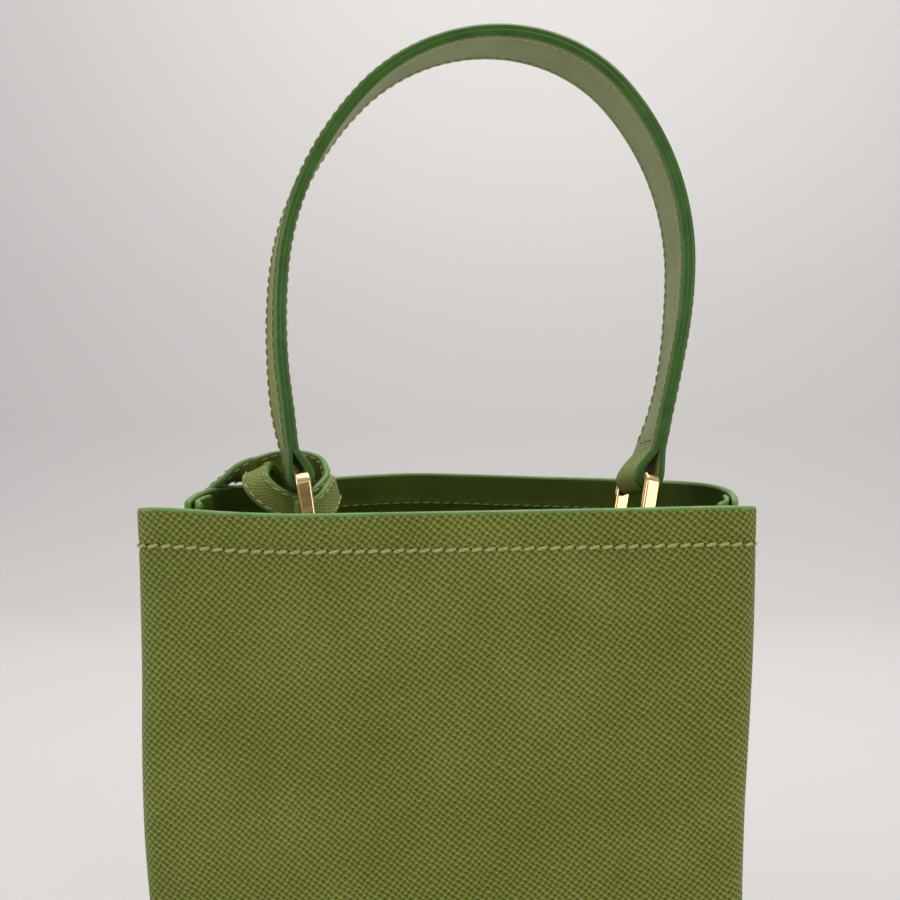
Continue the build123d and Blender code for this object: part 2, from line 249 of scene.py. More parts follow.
def cross_grain(name, ridge_highlight, middle, pit_shadow, axes=None, period=GRAIN_PERIOD, depth=0.00020):
    """Cross-grain leather: two families of fine diagonal ridges with painted highlights on them and
    painted shadow in the pits between them.
    It reads the piece's own grain map in millimetres, or two object axes where there is none."""
    n = Nodes(bpy.data.materials.new(name))
    if axes is None:
        grain = n.add("ShaderNodeUVMap", uv_map="grain").outputs[0]
        directions = [(a, b, 0) for a, b in (GRAIN_A, GRAIN_B)]
    else:
        grain = n.millimetres()
        directions = []
        for a, b in (GRAIN_A, GRAIN_B):
            direction = [0.0, 0.0, 0.0]
            direction[axes[0]], direction[axes[1]] = a, b
            directions.append(tuple(direction))
    solid = n.millimetres()
    waver = n.math("MULTIPLY", n.math("SUBTRACT", n.noise(grain, 0.16, 3), 0.5), 1.1)
    jitter = n.math("MULTIPLY", n.math("SUBTRACT", n.noise(grain, 1.3, 1), 0.5), 0.26)
    shares, gaps = [], []
    for i, direction in enumerate(directions):
        phase = n.math("DIVIDE", n.dot(grain, direction), period)
        phase = n.math("ADD", n.math("ADD", phase, waver), jitter if i else 0.0)
        wave = n.math("COSINE", n.math("MULTIPLY", phase, 2 * math.pi))
        shares.append(n.times_plus(wave, 0.5, 0.5))
        # the pits' painted shadow sits just under the crossings of the ridges, as if lit from above
        below = n.math("SUBTRACT", phase, math.copysign(0.15, (GRAIN_A, GRAIN_B)[i][1]))
        gap = n.math("COSINE", n.math("MULTIPLY", below, 2 * math.pi))
        gaps.append(n.times_plus(gap, -0.5, 0.5))
    ridge_line = n.math("MAXIMUM", n.math("POWER", shares[0], 2.6),
                        n.math("MULTIPLY", n.math("POWER", shares[1], 3.0), 0.85))
    crossing_highlight = n.math("POWER", n.math("MULTIPLY", shares[0], shares[1]), 2.0)
    pit_and_shadow = n.math("POWER", n.math("MULTIPLY", gaps[0], gaps[1]), 2.6)
    fine = n.noise(grain, 3.2, 3)
    height = n.math("SUBTRACT", ridge_line, n.math("MULTIPLY", pit_and_shadow, 1.15))
    height = n.math("ADD", height, n.math("MULTIPLY", fine, 0.3))
    tone = n.spread(n.noise(solid, 0.035, 3), 0.3, 0.7, -0.09, 0.09)
    speckle = n.spread(fine, 0.3, 0.7, -0.12, 0.12)
    shift = n.math("ADD", tone, speckle)
    # painted highlight: lighter along the ridges and brightest where they cross, plus random tone
    # and speckle
    level = n.math("ADD", n.math("MULTIPLY", ridge_line, 0.42), n.math("MULTIPLY", crossing_highlight, 0.5))
    level = n.math("ADD", level, shift, True)
    colour = n.mix(level, middle, ridge_highlight)
    # painted shadow: darkened in the pits just under the ridge crossings
    colour = n.mix(n.math("ADD", n.math("MULTIPLY", pit_and_shadow, 0.85), 0.0, True), colour, pit_shadow)
    n.bump(height, depth, 1.0)
    return n.finish(colour, n.spread(fine, 0.3, 0.7, 0.40, 0.56), 0.28)


def soft_leather(name, colour, dark, scale=1.1):
    """Smooth leather with a fine pebble and faint creases, the creases painted darker as shade."""
    n = Nodes(bpy.data.materials.new(name))
    solid = n.millimetres()
    cells = n.add("ShaderNodeTexVoronoi", feature="DISTANCE_TO_EDGE")
    n.tree.links.new(solid, cells.inputs["Vector"])
    cells.inputs["Scale"].default_value = scale
    pebble = n.spread(cells.outputs["Distance"], 0.0, 0.18)
    cloud = n.noise(solid, 0.05, 4)
    fine = n.noise(solid, 2.5, 3)
    # darker along the creases between the pebbles as painted shade, over a random cloudy tone
    share = n.math("ADD", n.spread(cloud, 0.3, 0.7, 0.1, 0.9), n.spread(pebble, 0, 1, -0.22, 0.1))
    height = n.math("ADD", pebble, n.math("MULTIPLY", fine, 0.5))
    n.bump(height, 0.00005, 0.8)
    tint = n.mix(n.math("ADD", share, 0.0, True), dark, colour)
    return n.finish(tint, n.spread(fine, 0.3, 0.7, 0.42, 0.58), 0.4)


def edge_paint(name, colour, dark):
    """Thick satin paint on a cut leather edge, slightly uneven."""
    n = Nodes(bpy.data.materials.new(name))
    solid = n.millimetres()
    cloud = n.noise(solid, 0.11, 3)
    ripple = n.noise(solid, 0.9, 2)
    tint = n.mix(n.spread(cloud, 0.3, 0.72), dark, colour)
    n.bump(ripple, 0.00010, 0.7)
    return n.finish(tint, n.spread(ripple, 0.3, 0.7, 0.30, 0.42), 0.5)


def thread(name, light, dark):
    """Twisted waxed thread: plies winding round, read from the stitch's own map."""
    n = Nodes(bpy.data.materials.new(name))
    place = n.add("ShaderNodeUVMap", uv_map="grain").outputs[0]
    wave = n.math("SINE", n.dot(place, (math.pi * 2 * 2.2, math.pi * 2 * 2.0, 0)))
    fuzz = n.noise(n.millimetres(), 6.0, 3)
    share = n.math("ADD", n.spread(wave, -1, 1, 0.15, 0.85),
                   n.spread(fuzz, 0.3, 0.7, -0.25, 0.25), True)
    n.bump(n.math("ADD", wave, fuzz), 0.00008, 0.8)
    return n.finish(n.mix(share, dark, light), n.spread(fuzz, 0.3, 0.7, 0.55, 0.75), 0.3)


def polished(name, colour):
    """Polished metal, very slightly wavy and smeared."""
    n = Nodes(bpy.data.materials.new(name))
    solid = n.millimetres()
    smear = n.noise(solid, 0.35, 4)
    n.shader.inputs["Metallic"].default_value = 1.0
    n.bump(n.noise(solid, 0.16, 1), 0.0005, 0.5)
    return n.finish(colour, n.spread(smear, 0.35, 0.7, 0.06, 0.16), 0.5)


def flat_dark(name, colour):
    n = Nodes(bpy.data.materials.new(name))
    cloud = n.noise(n.millimetres(), 1.5, 2)
    darker = tuple(c * 0.5 for c in colour[:3]) + (1.0,)
    return n.finish(n.mix(cloud, colour, darker), 0.8, 0.2)


def make_materials():
    # each leather's colours: painted highlight on the ridges, base colour, painted shadow in the
    # pits
    panel = ((0.40, 0.45, 0.11, 1), (0.120, 0.148, 0.002, 1), (0.048, 0.058, 0.001, 1))
    saffiano = cross_grain("cross_grain_leather", *panel)
    strap = cross_grain("cross_grain_strap", (0.30, 0.35, 0.10, 1), (0.185, 0.225, 0.040, 1),
                        (0.105, 0.135, 0.014, 1), period=1.05, depth=0.00010)
    tag = cross_grain("cross_grain_tag", *panel, axes=(1, 2))
    return {
        "saffiano": saffiano,
        "strap": strap,
        "tag": tag,
        "paint": edge_paint("edge_paint", (0.165, 0.325, 0.085, 1), (0.115, 0.245, 0.050, 1)),
        "handle_paint": edge_paint(
            "handle_paint", (0.048, 0.150, 0.005, 1), (0.026, 0.095, 0.003, 1)
        ),
        "nappa": soft_leather("smooth_leather", (0.27, 0.31, 0.14, 1), (0.19, 0.23, 0.09, 1)),
        "lining": soft_leather(
            "lining_leather", (0.072, 0.118, 0.003, 1), (0.045, 0.076, 0.002, 1), 0.9
        ),
        "thread": thread("thread_khaki", (0.70, 0.66, 0.29, 1), (0.36, 0.35, 0.11, 1)),
        "thread_dark": thread("thread_olive", (0.36, 0.37, 0.15, 1), (0.16, 0.18, 0.05, 1)),
        # near-black discs at the needle holes: painted shade in the holes
        "hole": flat_dark("needle_hole_shade", (0.035, 0.045, 0.008, 1)),
        "gold": polished("polished_gold", (0.93, 0.66, 0.29, 1)),
    }


# ---------------------------------------------------------------- mesh building

class Piece:
    """Collects points in millimetres and faces with a grain map, then makes the object."""

    def __init__(self):
        self.points, self.faces, self.uvs, self.parts = [], [], [], []
        self.count = 0

    def add(self, points):
        points = np.asarray(points, float).reshape(-1, 3)
        self.points.append(points)
        self.count += len(points)
        return np.arange(self.count - len(points), self.count)

    def face(self, corners, uvs, part=0):
        self.faces.append([int(i) for i in corners])
        self.uvs.append([(float(u), float(v)) for u, v in uvs])
        self.parts.append(part)

    def quads(self, index, uv, part=0, flip=False):
        """Faces over a grid of point numbers with a matching grid of map places."""
        rows, columns = index.shape
        for r in range(rows - 1):
            for c in range(columns - 1):
                ring = [(r, c), (r, c + 1), (r + 1, c + 1), (r + 1, c)]
                if flip:
                    ring = ring[::-1]
                self.face([index[i] for i in ring], [uv[i] for i in ring], part)

    def make(self, name, materials, body, replaced=()):
        """Materials are keys of MATERIALS, in the order of the face parts."""
        data = bpy.data.meshes.new(name)
        points = np.concatenate(self.points) * MM
        data.from_pydata(points.tolist(), [], self.faces)
        layer = data.uv_layers.new(name="grain")
        flat = [value for uvs in self.uvs for uv in uvs for value in uv]
        layer.data.foreach_set("uv", flat)
        for material in materials:
            data.materials.append(MATERIALS[material])
        data.polygons.foreach_set("material_index", self.parts)
        data.polygons.foreach_set("use_smooth", [True] * len(self.faces))
        work = bmesh.new()
        work.from_mesh(data)
        bmesh.ops.recalc_face_normals(work, faces=work.faces)
        work.to_mesh(data)
        work.free()
        data.update()
        made = bpy.data.objects.new(name, data)
        bpy.context.scene.collection.objects.link(made)
        if body:
            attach(made, body)
        if replaced:
            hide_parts(*replaced)
        return made


def grid_normals(grid):
    return unit(np.cross(np.gradient(grid, axis=1), np.gradient(grid, axis=0)))


def shell(piece, grid, uv, thickness, bead, steps=7):
    """A sheet with an outer and an inner face and a rounded painted edge all round."""
    rows, columns = grid.shape[:2]
    normal = grid_normals(grid)
    outer = piece.add(grid).reshape(rows, columns)
    inner = piece.add(grid - normal * thickness).reshape(rows, columns)
    piece.quads(outer, uv, 0)
    piece.quads(inner, uv, 2, True)
    loop = [(0, c) for c in range(columns)] + [(r, columns - 1) for r in range(1, rows)]
    loop += [(rows - 1, c) for c in range(columns - 2, -1, -1)]
    loop += [(r, 0) for r in range(rows - 2, 0, -1)]
    rings = [[outer[i] for i in loop]]
    away = []
    for r, c in loop:
        step = np.zeros(3)
        if c == 0:
            step += unit(grid[r, 0] - grid[r, 1])
        if c == columns - 1:
            step += unit(grid[r, -1] - grid[r, -2])
        if r == 0:
            step += unit(grid[0, c] - grid[1, c])
        if r == rows - 1:
            step += unit(grid[-1, c] - grid[-2, c])
        step -= normal[r, c] * (step @ normal[r, c])
        away.append(unit(step))
    away = np.array(away)
    edge = np.array([grid[i] for i in loop])
    out = np.array([normal[i] for i in loop])
    for k in range(1, steps):
        angle = math.pi * k / steps
        across = math.copysign(abs(math.cos(angle)) ** 0.75, math.cos(angle))
        ring = edge + out * (thickness / 2 * (across - 1)) + away * bead * math.sin(angle) ** 0.8
        rings.append(list(piece.add(ring)))
    rings.append([inner[i] for i in loop])
    place = np.array([uv[i] for i in loop])
    for k in range(steps):
        for i in range(len(loop)):
            j = (i + 1) % len(loop)
            corners = [rings[k][i], rings[k + 1][i], rings[k + 1][j], rings[k][j]]
            piece.face(corners, [place[i], place[i], place[j], place[j]], 1)
    return normal


def strap_section(width, low, high, outer_r, inner_r, crown=0.25, columns=8):
    """A strap's closed section as (across, up, part): parts are outer face, edges, inner face."""
    half, middle = width / 2, (low + high) / 2

    def corner(side, r, end, way, angles):
        return [(side * (half - r + r * math.sin(math.radians(a))),
                 end + way * (r - r * math.cos(math.radians(a))), 1) for a in angles]

    rows = [(w, high, 0) for w in np.linspace(-half + outer_r, half - outer_r, columns)]
    rows[-1] = rows[-1][:2] + (1,)
    rows += corner(1, outer_r, high, -1, (30, 60, 90))
    rows.append((half + crown, middle, 1))
    rows += corner(1, inner_r, low, 1, (90, 45, 0))
    rows[-1] = rows[-1][:2] + (2,)
    rows += [(w, low, 2) for w in np.linspace(half - inner_r, -half + inner_r, columns)[1:]]
    rows[-1] = rows[-1][:2] + (1,)
    rows += corner(-1, inner_r, low, 1, (45, 90))
    rows.append((-half - crown, middle, 1))
    return rows + corner(-1, outer_r, high, -1, (90, 60, 30))


def sweep(piece, centre, up, across, section, cap_r=0.7):
    """A section carried along a line, with rounded ends. Up and across are given per point."""
    along = unit(np.gradient(centre, axis=0))
    run = distances(centre)
    w = np.array([row[0] for row in section])
    t = np.array([row[1] for row in section])
    part = [row[2] for row in section]
    half_w, middle, half_t = abs(w).max(), (t.max() + t.min()) / 2, (t.max() - t.min()) / 2
    last = len(centre) - 1

    def cap(point, degrees, way):
        a = math.radians(degrees)
        return point, way * cap_r * math.sin(a), cap_r * (1 - math.cos(a))

    stations = [cap(0, 75, -1), cap(0, 40, -1)]
    stations += [(i, 0.0, 0.0) for i in range(len(centre))]
    stations += [cap(last, 40, 1), cap(last, 75, 1)]
    rings, places = [], []
    for i, push, shrink in stations:
        ws = w * (1 - shrink / half_w)
        ts = middle + (t - middle) * (1 - min(0.85, shrink / half_t))
        points = centre[i] + along[i] * push + np.outer(ws, across[i]) + np.outer(ts, up[i])
        rings.append(piece.add(points))
        places.append(run[i] + push)
    size = len(section)
    for r in range(len(rings) - 1):
        at_end = r < 2 or r >= len(rings) - 3
        for k in range(size):
            m = (k + 1) % size
            corners = [rings[r][k], rings[r][m], rings[r + 1][m], rings[r + 1][k]]
            uvs = [(w[k], places[r]), (w[m], places[r]),
                   (w[m], places[r + 1]), (w[k], places[r + 1])]
            piece.face(corners, uvs, 1 if at_end else part[k])
    for ring, place in ((rings[0][::-1], places[0]), (rings[-1], places[-1])):
        piece.face(ring, [(x, place) for x in w], 1)


def resampled(line, step=None, count=None, extra=()):
    """A polyline at even spacing, with matching arrays carried along."""
    run = distances(line)
    number = count or max(2, int(round(run[-1] / step)) + 1)
    at = np.linspace(0, run[-1], number)

    def carry(values):
        return np.stack([np.interp(at, run, values[:, k]) for k in range(values.shape[1])], 1)

    return [carry(line)] + [carry(values) for values in extra]


def eased(line, passes):
    """A line smoothed between its fixed ends."""
    line = line.copy()
    for _ in range(passes):
        line[1:-1] = line[1:-1] * 0.5 + (line[:-2] + line[2:]) * 0.25
    return line


def curve_through(points, per_span=12):
    """A smooth curve through the points, centripetal enough for short spans."""
    p = np.asarray(points, float)
    p = np.vstack([2 * p[0] - p[1], p, 2 * p[-1] - p[-2]])
    out = []
    for i in range(1, len(p) - 2):
        for t in np.linspace(0, 1, per_span, endpoint=False):
            a, b, c, d = p[i - 1], p[i], p[i + 1], p[i + 2]
            out.append(0.5 * (2 * b + (c - a) * t + (2 * a - 5 * b + 4 * c - d) * t * t
                              + (3 * b - a - 3 * c + d) * t ** 3))
    out.append(p[-2])
    return np.array(out)


# ---------------------------------------------------------------- stitching

def stitch_template(length, radius, sides=9, rings=9):
    """One stitch of two twisted strands, sinking into the leather at both ends."""
    spots, uvs = [], []
    for i in range(rings):
        s = -1 + 2 * i / (rings - 1)
        swell = max(0.12, (1 - abs(s) ** 3.2) ** 0.5)
        lift = -0.9 * radius * abs(s) ** 3.5 + 0.72 * radius
        for k in range(sides):
            a = 2 * math.pi * k / sides
            r = radius * swell * (1 + 0.13 * math.cos(2 * a - s * length * 2.6))
            spots.append((s * length / 2, r * math.cos(a), lift + r * 0.86 * math.sin(a)))
            uvs.append((s * length / 2, k / sides))
    return np.array(spots), uvs


def stitches(name, rows, pitch, length, radius, slant, body, strand="thread", holes=False):
    """Rows of stitches. Each row is (line, normals): the line lies in the leather's surface."""
    piece = Piece()

    def at_run(values, where):
        return np.array([np.interp(where, run, values[:, k]) for k in range(3)])

    spots, uvs = stitch_template(length, radius)
    sides, rings = 9, 9
    turn_of_hole = np.linspace(0, 2 * math.pi, 8, endpoint=False)
    for line, normals in rows:
        run = distances(line)
        number = max(1, int((run[-1] - 0.6) / pitch))
        start = (run[-1] - number * pitch) / 2 + pitch / 2
        for i in range(number):
            at = start + i * pitch
            spot = at_run(line, at)
            out = unit(at_run(normals, at))
            along = unit(at_run(line, at + 0.5) - at_run(line, at - 0.5))
            along = unit(along - out * (along @ out))
            side = np.cross(out, along)
            turn = math.radians(slant + RNG.uniform(-2.2, 2.2))
            a = along * math.cos(turn) + side * math.sin(turn)
            b = np.cross(out, a)
            scale = RNG.uniform(0.96, 1.03)
            points = spot + np.outer(spots[:, 0] * scale, a)
            points = points + np.outer(spots[:, 1], b) + np.outer(spots[:, 2], out)
            index = piece.add(points).reshape(rings, sides)
            for r in range(rings - 1):
                for k in range(sides):
                    m = (k + 1) % sides
                    ids = [r * sides + k, r * sides + m]
                    ids += [(r + 1) * sides + m, (r + 1) * sides + k]
                    piece.face([index.flat[j] for j in ids], [uvs[j] for j in ids], 0)
            piece.face(index[0][::-1], [(0, 0)] * sides, 0)
            piece.face(index[-1], [(0, 0)] * sides, 0)
            if not holes:
                continue
            # a dark disc sunk in at each needle hole: painted shade in the hole
            hole = spot + a * (pitch / 2) + out * 0.03
            disc = [hole + (along * math.cos(t) * 0.42 + side * math.sin(t) * 0.34)
                    for t in turn_of_hole]
            low = [p - out * 0.25 for p in disc]
            top, under = piece.add(disc), piece.add(low)
            piece.face(top, [(0, 0)] * 8, 1)
            piece.face(under[::-1], [(0, 0)] * 8, 1)
            for k in range(8):
                m = (k + 1) % 8
                piece.face([top[k], under[k], under[m], top[m]], [(0, 0)] * 4, 1)
    piece.make(name, (strand, "hole"), body)


# ---------------------------------------------------------------- body

LEATHER = ("saffiano", "paint", "lining")
PANEL_T = 2.3
GUSSET_T, GUSSET_BEAD, GUSSET_FOOT_Z = 1.7, 0.8, 9.8
PANEL_PITCH = 4.05
THREAD_OFF = 0.02
FOOT_Z = 3.0
STITCH_DROP = 12.0
BEAD = 1.0
TOP_Z = RIM_Z - BEAD


def half_width(z):
    """Half the body's width at height z: it narrows towards the base."""
    return 97.9 - 3.8 * (np.clip(140 - z, 0, None) / 140) ** 2


def sway(z, y=0.0):
    """The body's middle line leans a little to the left, more at the front than at the rear."""
    share = 0.3 + 0.7 * np.clip((-8 - y) / 20, 0, 1)
    return share * (-1.1 - 2.3 * np.exp(-((z - 92) / 55) ** 2))


def squared_arc(wide, deep, power, angles):
    """Points of a superellipse at the given angles."""
    c, s = np.cos(angles), np.sin(angles)
    return (wide * np.sign(c) * np.abs(c) ** (2 / power),
            deep * np.sign(s) * np.abs(s) ** (2 / power))


def front_plan(z, count):
    """The front panel's outer line at height z, left end to right end."""
    a = float(half_width(z))
    up = z / RIM_Z
    face = -(45 + 3 * up)
    curl = math.radians(14 + 41 * up ** 1.2)
    corner, curl_r = 6.5, 16
    reach, middle_y = a - corner, face + corner
    right = [(a - curl_r + curl_r * math.cos(t), middle_y + curl_r * math.sin(t))
             for t in np.linspace(curl, 0, 14)]
    right += [(reach + corner * math.cos(t), middle_y - corner * math.sin(t))
              for t in np.linspace(0, math.pi / 2, 12)[1:]]
    middle = [(x, face) for x in np.linspace(-reach, reach, 40)[1:-1]]
    whole = np.array([(-x, y) for x, y in right] + middle + right[::-1])
    bulge = (0.6 + 2.0 * math.sin(math.pi * min(1, up * 1.02)) ** 0.8) * np.clip(
        1 - (whole[:, 0] / a) ** 2, 0, 1) ** 1.2
    bulge = bulge * (whole[:, 1] < face + 2)
    whole[:, 1] -= bulge
    whole[:, 0] += sway(z, -48)
    return resampled(eased(whole, 2), count=count)[0]


def rear_plan(z, count):
    """The rear panel's outer line at height z, right end round the back to left end."""
    up = z / RIM_Z
    a = float(half_width(z)) - 2.6 + 0.8 * up
    power = 5.0 - 2.4 * up ** 1.3
    middle_y, end_y = -8.0, -14.5 - 1.0 * (1 - up)
    deep = 45 + 3 * up - middle_y
    x, y = squared_arc(a, deep, power, np.linspace(0, math.pi, 160))
    arc = np.stack([x, middle_y + y], 1)
    tail = 0.8 * up
    right = [(a - tail, end_y), (a - tail * 0.3, (end_y + middle_y) / 2)]
    left = [(-x_, y_) for x_, y_ in right[::-1]]
    whole = np.array(right + list(arc) + left)
    whole[:, 0] += sway(z)
    return resampled(eased(whole, 2), count=count)[0]


def wave_of(x, anchors):
    """The rim's rise at x, eased between the anchors."""
    xs, zs = zip(*anchors)
    fine = np.interp(np.linspace(xs[0], xs[-1], 200), xs, zs)
    fine = eased(fine[:, None], 30)[:, 0]
    return np.interp(x, np.linspace(xs[0], xs[-1], 200), fine)


FRONT_WAVE = [(-118, -3.6), (-106, -1.6), (-97, -0.2), (-90, 0.2), (-66, -1.5), (-45, -2.0),
              (0, -1.1), (47, -0.3), (90, 0.6), (98, 0.4), (106, -1.2), (118, -3.2)]
REAR_WAVE = [(-142, -2.8), (-132, -1.4), (-118, -0.2), (-95, 0.5), (-60, 0.0), (-30, 0.1), (0, 1.0),
             (29, 1.9), (60, 0.8), (90, -0.2), (112, 0.3), (126, -0.6), (134, -1.8), (142, -3.6)]


def wall_grid(plan, count, wave):
    """A panel's grid of points and map: rows follow the rim's soft wave near the top."""
    levels = np.concatenate([np.arange(FOOT_Z, 178, 3.5), np.arange(178, TOP_Z + 0.01, 1.0)])
    rows, maps = [], []
    for z in levels:
        line = plan(z, count)
        run = distances(line)
        u = run - run[-1] / 2
        lift = wave_of(u, wave) * smooth(z, 110, 190)
        # slow unevenness of real leather, and the shallow groove that the stitching pulls
        depth = (0.22 * np.sin(u / 23 + z / 41) * np.sin(z / 57 + 1.1)
                 + 0.12 * np.sin(u / 9.1 - z / 17))
        depth = depth * smooth(z, 20, 60) - 0.32 * np.exp(-((z - (RIM_Z - STITCH_DROP)) / 1.5) ** 2)
        tangent = unit(np.gradient(line, axis=0))
        out = np.stack([tangent[:, 1], -tangent[:, 0]], 1)
        line = line + out * depth[:, None]
        rows.append(np.column_stack([line, z + lift]))
        maps.append(np.column_stack([u, np.full(count, z)]))
    return np.array(rows), np.array(maps), levels


def surface_row(grid, normal, levels, z, off=0.0, inset=2):
    """A line across a panel's surface at a nominal level, moved out by off."""
    share = np.interp(z, levels, np.arange(len(levels)))
    low = int(share)
    t = share - low
    line = grid[low] * (1 - t) + grid[low + 1] * t
    out = unit(normal[low] * (1 - t) + normal[low + 1] * t)
    keep = slice(inset, len(line) - inset)
    return (line + out * off)[keep], out[keep]


def make_panel(name, plan, count, wave, replaced):
    grid, uv, levels = wall_grid(plan, count, wave)
    piece = Piece()
    normal = shell(piece, grid, uv, PANEL_T, BEAD)
    piece.make(name, LEATHER, "bag", replaced)
    row_z = RIM_Z - STITCH_DROP
    outer = surface_row(grid, normal, levels, row_z, THREAD_OFF)
    inner, outward = surface_row(grid, normal, levels, row_z, -PANEL_T - THREAD_OFF)
    stitches(name + "_stitching", [outer], PANEL_PITCH, 3.6, 0.56, 13, "bag", holes=True)
    stitches(name + "_inner_stitching", [(inner, -outward)], PANEL_PITCH, 3.1, 0.34, 6, "bag",
             "thread_dark")


def gusset_controls(up):
    """The left gusset's section at a share of the body's height, rear flange to front flange:
    x, y and the drop of the top edge below the rim."""
    a = float(half_width(up * RIM_Z))
    rear_a = a - 2.6 + 0.8 * up
    tip = 82 + (54.0 - 82) * up
    shoulder_y = -11 - 7 * up
    front_y = -14 - 9.5 * up
    neck = min(a - 2.8, tip + (a - tip) * 0.62 + 7 * up)
    return [
        (-rear_a + 2.7, 0.0, 2.4),
        (-rear_a + 2.7, -3.0, 2.4),
        (-rear_a + 2.8, -7.0 + 2 * (1 - up), 2.4),
        (-rear_a + 4.0, shoulder_y * 0.76, 2.8),
        (-(rear_a - 7.4 * up - 3.4 * (1 - up)), shoulder_y, 4.0),
        (-neck, shoulder_y + 2.5 * up, 12.0),
        (-(tip + (neck - tip) * 0.5), (shoulder_y - 3.5) / 2 + 1.0, 34.0),
        (-tip - 1.2, -3.3, 34.0),
        (-tip, -5.0, 34.0),
        (-tip - 1.2, -6.7, 34.0),
        (-(tip + (neck - tip) * 0.5), (front_y - 6.5) / 2 - 0.8, 34.0),
        (-neck, front_y - 0.4, 14.0),
        (-(a - 9.6 * up - 3.6 * (1 - up)), front_y - 1.6, 6.0),
        (-a + 5.6, -26.5, 4.4),
        (-a + 3.4, -31.0, 4.0),
        (-a + 3.0, -36.0, 4.0),
    ]


def make_gusset(name, side, replaced):
    per_span = 7
    top = curve_through(gusset_controls(1.0), per_span)
    rows, maps, sections = [], [], {}
    for share in np.linspace(0, 1, 40):
        zs = GUSSET_FOOT_Z + (RIM_Z - top[:, 2] - GUSSET_FOOT_Z) * share
        plan = []
        for c, z in enumerate(zs):
            key = round(z / RIM_Z, 3)
            if key not in sections:
                sections[key] = curve_through(gusset_controls(key), per_span)
            plan.append(sections[key][c, :2])
        rows.append(np.column_stack([plan, zs]))
        maps.append(np.column_stack([distances(np.array(plan)), zs]))
    grid, uv = np.array(rows), np.array(maps)
    if side > 0:
        grid = grid * np.array([-1, 1, 1])
        grid, uv = grid[:, ::-1], uv[:, ::-1]
    grid[..., 0] += sway(grid[..., 2], grid[..., 1])
    # columns run rear to front on the left side, so the outer face looks away from the bag
    piece = Piece()
    shell(piece, grid, uv, GUSSET_T, GUSSET_BEAD)
    piece.make(name, LEATHER, "bag", replaced)


def base_outline(z, inset, count=150):
    """A closed outline inside the panels at height z."""
    a = float(half_width(z)) - 2.0 - inset
    angles = np.linspace(0, 2 * math.pi, count, endpoint=False)
    x, y = squared_arc(a, 45 - inset, 6.5, angles)
    return np.stack([x + sway(z), y], 1)


def make_plate(name, z_low, z_high, inset, materials, replaced):
    """A flat leather plate with softened edges, in rings from its rim to its middle."""
    piece = Piece()
    outline = base_outline(z_low, inset)
    count = len(outline)
    bevel = min(0.6, (z_high - z_low) / 2)
    inwards = 1.0 - 0.2 * bevel / 80
    shares = (0.02, 0.5, 0.985)
    profile = [(s, z_low, 0) for s in shares]
    profile += [(inwards, z_low + bevel * 0.35, 1), (1.0, (z_low + z_high) / 2, 1),
                (inwards, z_high - bevel * 0.35, 1)]
    profile += [(s, z_high, 0) for s in shares[::-1]]
    made = [piece.add(np.column_stack([outline * s, np.full(count, z)])) for s, z, _ in profile]
    for r in range(len(profile) - 1):
        (lower, _, edge), (upper, _, next_edge) = profile[r:r + 2]
        for k in range(count):
            m = (k + 1) % count
            corners = [made[r][k], made[r][m], made[r + 1][m], made[r + 1][k]]
            uvs = [outline[k] * lower, outline[m] * lower, outline[m] * upper, outline[k] * upper]
            piece.face(corners, uvs, max(edge, next_edge))
    piece.face(made[0][::-1], [p * 0.02 for p in outline[::-1]], 0)
    piece.face(made[-1], [p * 0.02 for p in outline], 0)
    piece.make(name, materials, "bag", replaced)


def make_body():
    make_panel("front_panel_shell", front_plan, 118, FRONT_WAVE,
               ("front_panel", "front_stiffener", "front_lining"))
    make_panel("rear_panel_shell", rear_plan, 150, REAR_WAVE,
               ("rear_panel", "rear_stiffener", "rear_lining"))
    make_gusset("left_gusset_fold", -1, ("left_gusset", "left_gusset_lining"))
    make_gusset("right_gusset_fold", 1, ("right_gusset", "right_gusset_lining"))
    make_plate("base_plate", 4.0, 8.0, 2.8, LEATHER[:2],
               ("base_panel", "base_board"))
    make_plate("base_lining_sheet", 8.8, 9.5, 3.0, ("lining", "lining"),
               ("base_lining",))


# ---------------------------------------------------------------- handle

SKEW = 22.0
STRAP_W, PLY_T = 18.0, 2.15
FACE_SKIN = 0.25  # what each ply adds outwards
ARCH_SWING = 0.037  # the arch has swung this much to the right per millimetre of rise
ARCH_WIDER = 0.09  # the strap is this share wider over the arch than at its ends
TOP_R, TOP_ANGLE, LEG_R = 64.0, 50.0, 232.0
ARCH_RISE, ARCH_HALF_W = 173.5, 74.6
LEG_END_RISE = 13.5
BAR_X, BAR_RISE, BAR_GAP_R = 61.5, 4.5, 3.1
RING_SLOPE = 0.19
SHOULDER_R = (ARCH_HALF_W - TOP_R * math.sin(math.radians(TOP_ANGLE))) / (
    1 - math.sin(math.radians(TOP_ANGLE)))
TOP_RISE = ARCH_RISE - TOP_R
SHOULDER_RISE = TOP_RISE - (SHOULDER_R - TOP_R) * math.cos(math.radians(TOP_ANGLE))
LEG_SINE = (SHOULDER_RISE - LEG_END_RISE) / LEG_R
DEG = math.pi / 180


def lean(points, angle=LEAN):
    """Points leaned back about the tabs' flex line."""
    points = np.asarray(points, float)
    a = np.asarray(angle, float) * DEG
    y, z = points[..., 1] - FLEX_Y, points[..., 2] - FLEX_Z
    return np.stack([points[..., 0], FLEX_Y + y * np.cos(a) + z * np.sin(a),
                     FLEX_Z - y * np.sin(a) + z * np.cos(a)], -1)


def lean_direction(vectors, angle=LEAN):
    a = np.asarray(angle, float) * DEG
    return np.stack([vectors[..., 0], vectors[..., 1] * np.cos(a) + vectors[..., 2] * np.sin(a),
                     -vectors[..., 1] * np.sin(a) + vectors[..., 2] * np.cos(a)], -1)


